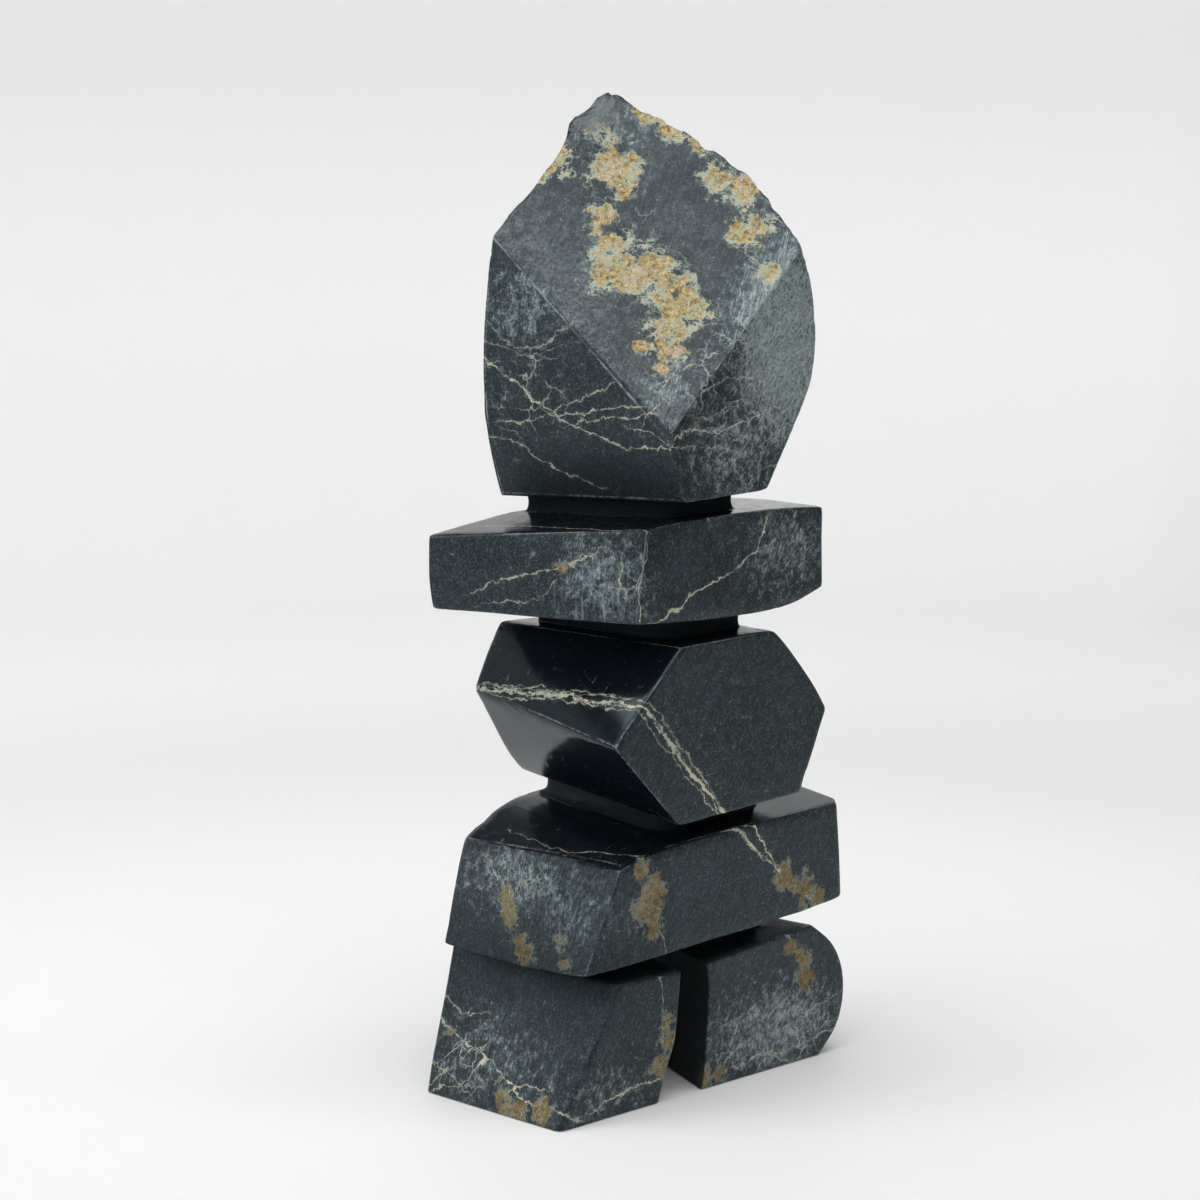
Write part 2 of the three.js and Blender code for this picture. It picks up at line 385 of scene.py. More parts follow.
head_points = settled(points_of(head), head_surface)
own_facet = (head_points @ head_normals.T - head_offsets).argmax(axis=1)
knob = 7.5 * hump(head_points, (73, 72, 320), (9, 16, 24))
knob += 3.2 * hump(head_points, (88, 70, 328), (9, 14, 16))
head_points[:, 2] = head_points[:, 2] + knob
set_points(head, head_points)
on_top = np.clip(2.5 * hump(head_points, (80, 70, 327), (13, 24, 12)) - 0.6, 0, 1)
rind = np.maximum(is_skin[own_facet] * wildness(head_points), on_top)
head_edge = closeness(head_points - knob[:, None] * (0, 0, 1), head_normals, head_offsets)
note(head, "edge", head_edge * (1 - 0.8 * rind))
note(head, "rind", rind)

# ==== Legs ===========================================================================================
# The legs are hollowed and rounded, so they are level outlines carried upwards. The gap between them
# is sawn right through, askew towards the back.


def carried(outlines, count):
    """Outlines between the given ones: along the height each corner follows a Catmull-Rom curve."""
    keys = np.asarray(outlines, dtype=float)
    keys = np.concatenate([2 * keys[:1] - keys[1:2], keys, 2 * keys[-1:] - keys[-2:-1]])
    t = np.clip(count, 0, 1) * (len(keys) - 3)
    index = np.minimum(t.astype(int), len(keys) - 4)
    t = (t - index)[:, None, None]
    a, b, c, d = (keys[index + i] for i in range(4))
    return 0.5 * (2 * b + (c - a) * t + (2 * a - 5 * b + 4 * c - d) * t**2 + (3 * b - a - 3 * c + d) * t**3)


def column(name, outlines, roundness, hollows, edge=0.8, along=14, stride=2.2):
    """A stone carried up through level outlines. Round each level runs a corner, cut as a quadratic
    arc as wide as its roundness, then a side, bowed inwards as 4 s (1 - s) by its hollow, and so on.
    The rims at both ends are rounded, and both ends are closed by rings that shrink to the middle."""
    height = np.asarray(outlines)[-1, :, 2].mean() - np.asarray(outlines)[0, :, 2].mean()
    rims = np.array([0, 0.15, 0.4, 0.8]) * edge / 0.8
    inner = np.linspace(1.8, height - 1.8, max(3, round(height / stride)))
    climb = np.concatenate([rims, inner, height - rims[::-1]])
    corners = carried(outlines, climb / height)
    before = np.roll(corners, 1, axis=1) - corners
    after = np.roll(corners, -1, axis=1) - corners
    spans = np.linalg.norm(after, axis=2, keepdims=True)
    cut = np.asarray(roundness, dtype=float)[None, :, None]
    start = corners + before * np.minimum(0.46, cut / np.roll(spans, 1, axis=1))
    end = corners + after * np.minimum(0.46, cut / spans)
    t = np.linspace(0, 1, 7)[None, None, :, None]
    arcs = start[:, :, None] * (1 - t) ** 2 + 2 * corners[:, :, None] * t * (1 - t) + end[:, :, None] * t**2
    s = (np.arange(1, along) / along)[None, None, :, None]
    flats = end[:, :, None] * (1 - s) + np.roll(start, -1, axis=1)[:, :, None] * s
    inward = np.cross((0, 0, 1), after / spans)[:, :, None]
    depth = np.sin(np.pi * np.clip(climb / height, 0, 1))[:, None, None, None] ** 0.7
    flats = flats + inward * np.asarray(hollows)[None, :, None, None] * 4 * s * (1 - s) * depth
    rings = np.concatenate([arcs, flats], axis=2).reshape(len(climb), -1, 3)
    middles = rings.mean(axis=1, keepdims=True)
    ease = np.clip(1 - np.minimum(climb, height - climb) / edge, 0, 1)
    inset = edge * (1 - np.sqrt(1 - ease**2))
    towards = middles - rings
    rings = rings + towards * (inset[:, None] / np.linalg.norm(towards, axis=2))[:, :, None]
    shrink = np.array([0.12, 0.3, 0.55, 0.8])[:, None, None]
    floor = rings[0] + (rings[0].mean(axis=0) - rings[0]) * shrink[::-1]
    roof = rings[-1] + (rings[-1].mean(axis=0) - rings[-1]) * shrink
    rings = np.concatenate([floor, rings, roof])
    around = rings.shape[1]
    points = np.vstack([rings.reshape(-1, 3), rings[0].mean(axis=0), rings[-1].mean(axis=0)])
    row, place = np.divmod(np.arange((len(rings) - 1) * around), around)
    beside = (place + 1) % around
    quads = np.stack([row * around + place, row * around + beside], 1)
    quads = np.hstack([quads, quads[:, ::-1] + around])
    place = np.arange(around)
    beside = (place + 1) % around
    foot = np.stack([beside, place, np.full(around, len(points) - 2)], 1)
    last = (len(rings) - 1) * around
    crown = np.stack([last + place, last + beside, np.full(around, len(points) - 1)], 1)
    stone = welded(name, [(points, quads.tolist(), foot.tolist(), crown.tolist())])
    points = points_of(stone)
    hard = np.asarray(roundness) < 5
    pillars = carried(outlines, np.clip((points[:, 2] - points[:, 2].min()) / height, 0, 1))[:, hard]
    away = np.linalg.norm(pillars[:, :, :2] - points[:, None, :2], axis=2).min(axis=1, initial=100)
    up = points[:, 2]
    away = np.minimum(away, np.minimum(up - up.min(), up.max() - up))
    note(stone, "edge", np.clip(1 - away / edge_reach, 0, 1))
    note(stone, "rind", np.zeros(len(points)))
    return stone


# ---- Left leg: hollowed on its outer side, where it runs up under the hip slab --------------------
left_leg = column(
    "left_leg",
    [
        [(0.4, 0.4, 0), (46, 0.4, 0), (71, 64, 0), (34, 66, 0), (0.4, 64, 0)],
        [(5, 0, 10), (49.3, 0, 10), (73, 65, 10), (35, 68, 10), (3.5, 65, 10)],
        [(12, 0, 20), (53.6, 0, 20), (74, 65, 20), (36, 69, 20), (7.2, 66, 20)],
        [(20.5, 0, 32), (55.3, 0, 32), (75, 65, 33), (37, 69, 34), (11, 66, 34)],
        [(27, 0, 43), (56.5, 0, 42.4), (76, 65, 44), (38, 68, 48), (14.5, 66, 48.5)],
    ],
    roundness=(2.6, 1.2, 1.5, 14, 2),
    hollows=(0.5, 0, 0, 0, -0.9),
)

# ---- Right leg: bulging outwards at half its height ------------------------------------------------
right_leg = column(
    "right_leg",
    [
        [(66.5, 0.6, 0), (127, 0.6, 0), (129, 4, 0), (122, 60, 0), (92, 62, 0), (79, 29, 0)],
        [(67.5, 0, 8), (135, 0, 8), (136.5, 6, 8), (127.5, 64, 8), (91, 66, 8), (80, 29, 8)],
        [(68.3, 0, 16), (138.8, 0, 16), (139.5, 7, 16), (130, 66, 16), (90, 68, 16), (80, 29, 16)],
        [(69, 0, 25), (139.4, 0, 25), (140, 7, 25), (131, 66, 25), (90, 68, 25), (80, 29, 25)],
        [(69.4, 0, 33), (137, 0, 33), (137.5, 7, 33), (130, 66, 33), (90, 68, 33), (80, 29, 33)],
        [(69, 0, 39), (131.8, 0, 40), (132.2, 7, 40), (127, 66, 40), (90, 68, 40), (80, 29, 40)],
        [(68.4, 0, 42.6), (122, 0, 47.2), (122, 7, 47), (120, 64, 47), (90, 66, 44), (80, 29, 43)],
    ],
    roundness=(1.2, 2, 4, 2, 1.5, 16),
    hollows=(0.5, 0, 0, 0, 0, 0),
)

# ==== Necks ==========================================================================================
# Inside every saw cut a neck of stone is left, smaller than the stones above and below and flared
# into both of them.


cut_round = 6
back_limit = 69.2


def neck(name, outline, flare=3.0):
    """A column that narrows by the flare within the cut, along a quarter ellipse at either end. Each
    place of its outline is given as right, back, and the heights of the cut's floor and ceiling."""
    outline = np.asarray(outline, dtype=float)
    plan = outline[:, :2]
    middle = plan.mean(axis=0)
    towards = (plan - middle) / np.linalg.norm(plan - middle, axis=1, keepdims=True)
    part = np.concatenate([[-0.7, -0.2], np.linspace(0, 1, 9), [1.2, 1.7]])
    inside = np.clip(part, 0, 1)
    spread = flare * (1 - np.sqrt(np.clip(1 - np.abs(2 * inside - 1) ** 2.4, 0, 1)))
    rings = plan + towards * spread[:, None, None]
    rings[:, :, 1] = np.minimum(rings[:, :, 1], back_limit)
    levels = outline[:, 2] + (outline[:, 3] - outline[:, 2]) * part[:, None]
    levels = np.concatenate([rings, levels[:, :, None]], axis=2)
    corners = len(outline)
    stone = column(name, levels, [cut_round] * corners, [0] * corners, along=8, stride=1.0)
    # The mark lets the material paint the neck near black, as painted shade inside the cut.
    note(stone, "cut", np.ones(len(stone.data.vertices)))
    return stone


necks = [
    neck("left_ankle", [(34, 17, 42, 48), (51, 14, 41.5, 48.5), (61, 60, 43, 49), (34, 66, 43, 48),
                        (22, 64, 43, 48), (28, 34, 42.5, 48)]),
    neck("right_ankle", [(80, 16, 42.5, 50.5), (112, 15, 46, 52), (115, 40, 46, 52.5),
                         (112, 62, 45.5, 52), (94, 64, 44, 51), (87, 36, 43.5, 51)]),
    neck("waist", [(59, 12, 86, 94), (108, 12, 88, 95.5), (111, 40, 91.5, 99.5),
                   (107, 64, 95.2, 103), (55, 65, 94.0, 103), (57, 38, 89.8, 98.6)], flare=3.0),
    neck("shoulders", [(60, 12, 150, 158), (99, 12, 150.6, 158), (102, 36, 151, 159),
                       (98, 62, 151.6, 159.5), (50, 64, 151.6, 160), (54, 36, 150.8, 159)]),
    neck("throat", [(62, 11, 190.2, 198.2), (93, 10, 191.4, 199.4), (96, 36, 191.2, 199.8),
                    (88, 64, 190.6, 199), (48, 67, 189.6, 197.6), (54, 36, 190, 198)], flare=3.5),
]

# ==== One carving ====================================================================================
# All of it is one piece of stone, so the parts above are joined in a single closed skin. It stands
# for the imported solid.
carving = hip_slab
for part in [belly_stone, arm_slab, head, left_leg, right_leg] + necks:
    union = carving.modifiers.new(part.name, "BOOLEAN")
    union.operation = "UNION"
    union.solver = "MANIFOLD"
    union.object = part
skin = bpy.data.meshes.new_from_object(carving.evaluated_get(bpy.context.evaluated_depsgraph_get()))
for part in [hip_slab, belly_stone, arm_slab, head, left_leg, right_leg] + necks:
    bpy.data.objects.remove(part)
skin.name = "cairn_stone"
cairn = bpy.data.objects.new("cairn_stone", skin)
bpy.context.scene.collection.objects.link(cairn)
set_points(cairn, in_frame(np.clip(points_of(cairn), (0, 0, 0), block_size)))
skin.shade_smooth()
sharp_angle = math.radians(38)
skin.set_sharp_from_angle(angle=sharp_angle)
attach(cairn, "root")
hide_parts("cairn_carving")

# ==== Serpentine ===================================================================================
# Dark green-black serpentine, mottled and finely speckled, ground and oiled. Cream calcite veins run
# through it as thin sheets, and ochre crust shows where the old weathered skin was reached.
stone = bpy.data.materials.new("serpentine")
stone.use_nodes = True
skin.materials.clear()
skin.materials.append(stone)
tree = stone.node_tree
shader = tree.nodes["Principled BSDF"]
places = (points_of(cairn) - block_low) * 1000
outward = np.empty(len(places) * 3)
skin.vertex_normals.foreach_get("vector", outward)
outward = outward.reshape(-1, 3)


def wired(kind, inputs, **settings):
    """A node of the material: each input is linked if it is given a socket, else set."""
    made = tree.nodes.new(kind)
    for name, value in settings.items():
        setattr(made, name, value)
    for name, value in inputs.items():
        if isinstance(value, bpy.types.NodeSocket):
            tree.links.new(value, made.inputs[name])
        else:
            made.inputs[name].default_value = value
    return made


def maths(operation, *values, clamp=False):
    """One number worked out from others."""
    return wired("ShaderNodeMath", dict(enumerate(values)), operation=operation, use_clamp=clamp).outputs[0]


def times(*values, clamp=False):
    """Two numbers multiplied."""
    return maths("MULTIPLY", *values, clamp=clamp)


def scaled(value, factor, added, clamp=False):
    """The value times the factor, plus what is added."""
    return maths("MULTIPLY_ADD", value, factor, added, clamp=clamp)


def faded(value, low, high, first=0.0, last=1.0):
    """From the first number where the value is `low` to the last where it is `high`, by an S-curve."""
    ends = {0: value, 1: low, 2: high, 3: first, 4: last}
    return wired("ShaderNodeMapRange", ends, interpolation_type="SMOOTHSTEP").outputs[0]


def tinted(amount, first, second):
    """From the first colour to the second by the amount."""
    colours = {6: first, 7: second}
    for slot, colour in colours.items():
        if isinstance(colour, tuple):
            colours[slot] = colour + (1,)
    return wired("ShaderNodeMix", {0: amount, **colours}, data_type="RGBA").outputs[2]


def moved(place, shift):
    """The place shifted, so that a second noise of the same size comes out different."""
    return wired("ShaderNodeVectorMath", {0: place, 1: shift}, operation="ADD").outputs[0]


def cloud(size, detail=2.0, roughness=0.5, place=None, output=0):
    """Noise whose coarsest waves are about `size` millimetres long, at a place or a shifted spot."""
    place = moved(spot, place) if isinstance(place, tuple) else place or spot
    inputs = {"Vector": place, "Scale": 1 / size, "Detail": detail, "Roughness": roughness}
    return wired("ShaderNodeTexNoise", inputs).outputs[output]


def ridge(noise):
    """How far the noise is from its middle value, which is nearly zero along thin winding lines."""
    return maths("ABSOLUTE", maths("SUBTRACT", noise, 0.5))


def swayed(value, noise, amount, middle=0.5):
    """The value plus the amount times how far the noise is above its middle value."""
    return scaled(maths("SUBTRACT", noise, middle), amount, value)


def kept(name, output="Fac"):
    """A number noted on the points of the mesh."""
    return wired("ShaderNodeAttribute", {}, attribute_name=name).outputs[output]


position = wired("ShaderNodeTexCoord", {}).outputs["Object"]
to_block = {0: position, 1: (1000, 1000, 1000), 2: tuple(-1000 * block_low)}
spot = wired("ShaderNodeVectorMath", to_block, operation="MULTIPLY_ADD").outputs[0]

# ---- Polished places, also painted near black as painted shade: the floors of the saw cuts and the belly's left side ---
height = places[:, 2]
in_cut = (outward[:, 2] > 0.75) & (height > 80) & (height < 196)
on_belly = (outward[:, 0] < -0.45) & (height > 93) & (height < 153)
head_foot = 0.6 * hump(places, (47, 36, 202), (12, 60, 10))
note(cairn, "polish_and_shade", np.maximum(in_cut | on_belly, head_foot))

# ---- Body colour: near black, mottled blue-grey, with pale flecks --------------------------------------
broad = cloud(26, 3)
mottle = cloud(4.2, 4, 0.62)
fleck = cloud(0.75, 2, 0.6)
shade = maths("ADD", times(broad, 0.45), times(mottle, 0.55))
near_black = (0.0028, 0.0052, 0.0080)
slate = (0.013, 0.021, 0.028)
sheen_grey = (0.128, 0.144, 0.148)
fleck_grey = (0.110, 0.135, 0.142)
dot_grey = (0.20, 0.235, 0.235)
colour = tinted(faded(shade, 0.40, 0.64), near_black, slate)
# Painted sheen: the head's sloping face is painted a paler grey where the overhead light's reflection
# lightens it, most along its left edge and near its tip. The paler grey is broken up by the stone's own
# mottle.
on_slope_face = (outward @ slope_faces > 0.96) & (height > 216)
left_edge = np.array([-12, 70, 65])
left_edge = left_edge / np.linalg.norm(left_edge)
inward = np.linalg.norm(np.cross(places - slope_tip, left_edge), axis=1)
slope_edge_sheen = 0.5 * np.exp(-((inward / 14) ** 2))
slope_sheen = 0.36 + slope_edge_sheen + 0.3 * hump(places, slope_tip, (18, 24, 26))
note(cairn, "slope_sheen", on_slope_face * slope_sheen)
sheen_amount = times(kept("slope_sheen"), faded(shade, 0.42, 0.58, 0.35, 1.15))
sheen_amount = times(sheen_amount, faded(cloud(1.6, 5, 0.8, (14, 41, 2)), 0.40, 0.58, 0.25, 1.15))
colour = tinted(sheen_amount, colour, sheen_grey)
colour = tinted(faded(fleck, 0.55, 0.70, 0, 0.6), colour, fleck_grey)
dotted = faded(cloud(0.6, 1, 0.5, (9, 9, 9)), 0.68, 0.76, 0, 0.7)
colour = tinted(dotted, colour, dot_grey)

# ---- Blooms: parts where the stone is cloudy blue-grey ---------------------------------------------
# Each has a middle, how far it reaches right, back and up, and how strong it is.
blooms = [
    ((20, 44, 74), (12, 30, 14), 0.85), ((24, 12, 62), (14, 16, 14), 0.6),
    ((32, 14, 176), (9, 20, 16), 0.9), ((38, 0, 166), (10, 8, 12), 0.5),
    ((35, 40, 245), (10, 44, 32), 0.32), ((106, 0, 178), (26, 8, 18), 0.8),
    ((106, 0, 248), (26, 12, 36), 1.9), ((36, 50, 262), (10, 26, 16), 0.85),
    ((82, 0, 214), (30, 8, 20), 0.85), ((104, 0, 14), (36, 9, 17), 1.1),
    ((8, 40, 14), (12, 34, 20), 0.62), ((22, 0, 8), (26, 8, 12), 0.6),
    ((58, 9, 234), (14, 14, 16), 0.75), ((80, 60, 322), (18, 20, 14), 0.9),
    ((60, 40, 280), (30, 30, 30), 0.35), ((82, 0, 116), (30, 6, 28), 0.15),
    ((33, 60, 232), (6, 14, 20), 0.25), ((118, 30, 290), (14, 30, 30), 0.6),
    ((80, 70, 240), (60, 6, 60), 0.5), ((141, 35, 75), (5, 40, 22), 0.5),
    ((132, 30, 175), (6, 30, 20), 0.5), ((90, 70, 75), (60, 5, 25), 0.5),
    ((70, 70, 175), (60, 5, 20), 0.5),
]


def strongest(patches):
    """At every point of the mesh, the highest of the patches' humps, each times its strength."""
    total = np.zeros(len(places))
    for middle, reach, strength in patches:
        total = np.maximum(total, strength * hump(places, middle, reach))
    return total


note(cairn, "bloom", strongest(blooms))
bloom_grey = (0.098, 0.128, 0.142)
bloom_pale = (0.25, 0.31, 0.31)
bloom_fleck = (0.27, 0.32, 0.325)
pit_black = (0.006, 0.010, 0.012)
polish_and_shade_black = (0.003, 0.0045, 0.008)
patchy = swayed(kept("bloom"), mottle, 2.0)
patchy = swayed(patchy, cloud(2.4, 5, 0.75, (70, 0, 0)), 2.4)
colour = tinted(faded(patchy, 0.3, 1.2, 0, 0.9), colour, bloom_grey)
colour = tinted(faded(patchy, 0.75, 1.7, 0, 0.85), colour, bloom_pale)
flecked = times(faded(cloud(0.9, 3, 0.7, (0, 90, 0)), 0.53, 0.66), faded(patchy, 0.3, 1.1))
colour = tinted(times(flecked, 0.8), colour, bloom_fleck)
pitted = faded(cloud(1.1, 4, 0.75, (44, 2, 44)), 0.50, 0.38, 0, 0.85)
colour = tinted(pitted, colour, pit_black)
# Partly the deeper black of ground stone, partly painted shade: the polished places are painted near black.
# These are the cut floors, the belly's left side and the head's foot, where shade and dark reflections
# darken them.
colour = tinted(times(kept("polish_and_shade"), 0.93), colour, polish_and_shade_black)

# ---- Scratches and hairlines: long thin marks that lean to the right on the front ---------------------
hair_pale = (0.38, 0.44, 0.44)
scratch_grey = (0.16, 0.19, 0.20)
brushed_blue = (0.22, 0.28, 0.31)
lean = {"Vector": spot, "Rotation": (0, math.radians(-52), math.radians(20)), "Scale": (11, 1, 1)}
leaning = wired("ShaderNodeMapping", lean, vector_type="TEXTURE").outputs[0]
hair = faded(ridge(cloud(1.5, 3, 0.6, leaning)), 0.035, 0.006)
hair = times(hair, faded(patchy, 0.35, 1.1, 0.07, 0.95))
hair = times(hair, scaled(kept("polish_and_shade"), -0.97, 0.97))
colour = tinted(hair, colour, hair_pale)
turn = (math.radians(15), math.radians(24), math.radians(90))
lie = {"Vector": spot, "Rotation": turn, "Scale": (16, 1, 1)}
lying = wired("ShaderNodeMapping", lie, vector_type="TEXTURE").outputs[0]
scratch = faded(ridge(cloud(1.1, 2, 0.5, lying)), 0.014, 0.002)
scratch = times(scratch, faded(kept("bloom"), 0.1, 0.8, 0.04, 0.45))
colour = tinted(scratch, colour, scratch_grey)

on_arm = hump(places, (31, 15, 164), (9, 13, 12))
on_hip = hump(places, (20, 14, 66), (14, 16, 14))
note(cairn, "brushed", on_arm + 0.5 * on_hip)
brush = {"Vector": spot, "Scale": (1, 1, 9)}
brushed = wired("ShaderNodeMapping", brush, vector_type="TEXTURE").outputs[0]
brushed = faded(cloud(1.4, 3, 0.65, brushed), 0.50, 0.66)
brushed = times(times(brushed, kept("brushed")), 0.8)
colour = tinted(brushed, colour, brushed_blue)

# ---- Web: a net of pale hairline cracks in some of the blooms --------------------------------------
webs = [
    ((104, 0, 12), (34, 9, 13), 1.0), ((96, 0, 236), (34, 9, 36), 1.1),
    ((35, 44, 232), (8, 34, 22), 0.7), ((70, 30, 285), (24, 40, 40), 0.45),
    ((20, 44, 74), (10, 28, 12), 0.5), ((35, 20, 172), (12, 40, 10), 0.5),
    ((6, 52, 10), (9, 18, 13), 0.7), ((60, 8, 234), (12, 14, 12), 0.5),
    ((112, 12, 276), (10, 14, 20), 0.8), ((100, 70, 30), (60, 8, 40), 0.5),
    ((80, 70, 230), (50, 8, 50), 0.6), ((138, 40, 20), (8, 40, 20), 0.6),
    ((140, 40, 75), (6, 30, 18), 0.4),
]
note(cairn, "web", strongest(webs))
bent = cloud(5, 3, 0.6, (0, 0, 55), 1)
warp = {0: bent, 1: (7, 7, 7), 2: spot}
bent = wired("ShaderNodeVectorMath", warp, operation="MULTIPLY_ADD").outputs[0]
cells = {"Vector": bent, "Scale": 1 / 11}
net = wired("ShaderNodeTexVoronoi", cells, feature="DISTANCE_TO_EDGE").outputs["Distance"]
net = times(faded(net, 0.030, 0.008), faded(kept("web"), 0.15, 0.6))
net = times(net, faded(cloud(8, 2, 0.5, (33, 0, 0)), 0.40, 0.56, 0.05, 0.85))
net_green = (0.36, 0.40, 0.36)
colour = tinted(net, colour, net_green)

# ---- Veins ----------------------------------------------------------------------------------------
# Each vein belongs to a strand, has a half width in millimetres and a strength, and follows guide
# places over the stones. Veins of one strand keep clear of each other; each strand wanders its own way.
belly_vein = [(28, 69, 132), (29, 46, 134), (31, 30, 134), (34, 15, 133), (38, 0, 133), (46, 0, 125),
              (55, 0, 115), (65, 0, 104), (77, 0, 91)]
upper_vein = [(29, 66, 134), (30, 46, 135), (32, 30, 135), (36, 15, 135), (40, 0, 134), (49, 0, 126),
              (57, 0, 116), (66, 0, 106), (77, 0, 92)]
lower_vein = [(27, 60, 131), (29, 42, 132), (30, 28, 132), (33, 15, 132), (36, 0, 131), (43, 0, 124),
              (50, 0, 117), (62, 0, 105), (75, 0, 91)]
hip_vein = [(80, 0, 89), (95, 0, 76), (104, 0, 70), (115, 0, 61), (129, 0, 52)]
veins = [
    (0, 0.85, 1.0, belly_vein), (1, 0.32, 0.85, upper_vein), (2, 0.28, 0.8, lower_vein),
    (3, 0.45, 0.95, belly_vein), (5, 0.26, 0.6, upper_vein), (0, 0.62, 1.0, hip_vein),
    (2, 0.34, 0.9, hip_vein), (4, 0.26, 0.7, hip_vein),
    (1, 0.50, 1.0, [(88, 0, 89), (94, 0, 82), (100, 0, 75), (106, 0, 69)]),
    (3, 0.30, 0.7, [(45, 0, 64), (47, 0, 57), (50, 0, 49)]),
    (3, 0.30, 0.6, [(46, 0, 42), (48, 0, 34), (48, 0, 21)]),
    (4, 0.28, 0.6, [(30, 55, 88), (28, 40, 87), (28, 28, 85), (33, 14, 85), (39, 2, 86)]),
    (0, 0.50, 0.9, [(8, 66, 24), (7, 55, 20), (6, 40, 15), (3, 19, 7), (3, 8, 6), (8, 0, 3)]),
    (1, 0.40, 0.8, [(6, 40, 15), (2, 49, 5), (1, 62, 1)]),
    (2, 0.40, 0.8, [(12, 0, 3), (28, 0, 7), (42, 0, 8), (48, 0, 8)]),
    (3, 0.35, 0.7, [(1, 64, 2), (4, 52, 12), (7, 42, 20)]),
    (4, 0.30, 0.7, [(9, 64, 31), (9, 54, 27), (10, 48, 28)]),
    (5, 0.30, 0.6, [(3, 64, 9), (3, 54, 7), (2, 44, 3)]),
    (5, 0.35, 0.7, [(4, 24, 8), (3, 18, 12), (5, 10, 11)]),
    (0, 0.35, 0.7, [(72, 0, 3), (90, 0, 6), (110, 0, 5), (132, 0, 8)]),
    (1, 0.30, 0.6, [(108, 0, 46), (115, 0, 36), (121, 0, 25)]),
    (2, 0.25, 0.6, [(76, 0, 8), (92, 0, 13), (112, 0, 14), (134, 0, 19)]),
    (0, 0.50, 0.9, [(42, 0, 157), (55, 0, 163), (64, 0, 168), (74, 0, 171), (86, 0, 175), (93, 0, 180),
        (96, 0, 189)]),
    (1, 0.32, 0.8, [(36, 0, 157), (38, 0, 174), (40, 0, 190), (34, 20, 190), (27, 56, 189),
        (10, 69, 187)]),
    (2, 0.45, 0.9, [(35, 7, 180), (34, 7, 170)]),
    (3, 0.40, 0.7, [(13, 55, 166), (17, 45, 172), (22, 36, 174), (26, 26, 176), (33, 14, 183)]),
    (4, 0.30, 0.6, [(17, 48, 164), (22, 32, 166), (24, 28, 172)]),
    (0, 0.45, 0.9, [(32, 70, 243), (34, 62, 238), (36, 54, 232), (38, 44, 225), (42, 29, 218),
        (47, 16, 214), (50, 0, 215)]),
    (0, 0.25, 0.6, [(52, 0, 216), (64, 0, 215), (83, 0, 212)]),
    (1, 0.30, 0.8, [(34, 63, 221), (37, 49, 223), (40, 37, 228), (45, 22, 235)]),
    (2, 0.32, 0.8, [(38, 44, 224), (42, 29, 225), (44, 22, 227), (47, 11, 228)]),
    (3, 0.30, 0.8, [(40, 38, 221), (42, 27, 223), (45, 17, 224), (49, 7, 226)]),
    (4, 0.30, 0.8, [(45, 15, 221), (47, 8, 219), (50, 1, 215), (55, 0, 220), (74, 0, 220),
        (93, 0, 224)]),
    (1, 0.35, 0.8, [(33, 70, 217), (37, 57, 213), (42, 46, 206), (48, 30, 200)]),
    (3, 0.28, 0.6, [(33, 70, 256), (35, 60, 247), (38, 49, 246), (41, 40, 252)]),
    (5, 0.25, 0.5, [(32, 69, 248), (36, 55, 244), (40, 42, 247)]),
    (5, 0.28, 0.7, [(47, 9, 224), (52, 7, 230), (56, 8, 235)]),
    (3, 0.25, 0.6, [(54, 10, 235), (66, 6, 241), (72, 1, 241)]),
    (2, 0.22, 0.5, [(68, 13, 252), (76, 9, 255), (87, 2, 256), (93, 0, 260)]),
    (4, 0.25, 0.7, [(100, 13, 281), (98, 6, 271), (97, 0, 263)]),
    (5, 0.25, 0.5, [(64, 0, 232), (78, 0, 236), (93, 0, 238), (117, 0, 245)]),
    (3, 0.25, 0.5, [(64, 0, 224), (76, 0, 226), (90, 0, 229), (100, 0, 235)]),
]


vein_reach = 9


def vein_field(strand):
    """For every point of the mesh: how far across the nearest vein of the strand it lies, positive on
    one side and negative on the other, that vein's half width, and its strength, which fades away
    from the vein and past its ends. Further off than the reach of a vein there is none."""
    field = np.tile((50, 0.3, 0), (len(places), 1))
    nearest = np.full(len(places), float(vein_reach))
    for own_strand, half_width, strength, guides in veins:
        if own_strand != strand:
            continue
        line = carried(np.array(guides)[:, None], np.linspace(0, 1, 10 * len(guides)))[:, 0]
        inside = (places > line.min(axis=0) - vein_reach) & (places < line.max(axis=0) + vein_reach)
        near = np.flatnonzero(inside.all(axis=1))
        runs = np.diff(line, axis=0)
        offset = places[near][:, None] - line[:-1]
        along = (offset * runs).sum(axis=2) / (runs**2).sum(axis=1)
        away = np.linalg.norm(offset - np.clip(along, 0, 1)[:, :, None] * runs, axis=2)
        pick = (np.arange(len(near)), away.argmin(axis=1))
        side = np.cross(runs[pick[1]], outward[near])
        side /= np.linalg.norm(side, axis=1, keepdims=True) + 1e-9
        past = np.abs(along[pick] - np.clip(along[pick], 0, 1)) * np.linalg.norm(runs[pick[1]], axis=1)
        fade = np.clip(1.5 - away[pick] / 5, 0, 1) * np.clip(1 - past / 3, 0, 1)
        closer = away[pick] < nearest[near]
        own = near[closer]
        nearest[own] = away[pick][closer]
        field[own, 0] = (offset[pick] * side).sum(axis=1)[closer]
        field[own, 1] = half_width
        field[own, 2] = strength * fade[closer]
    return field


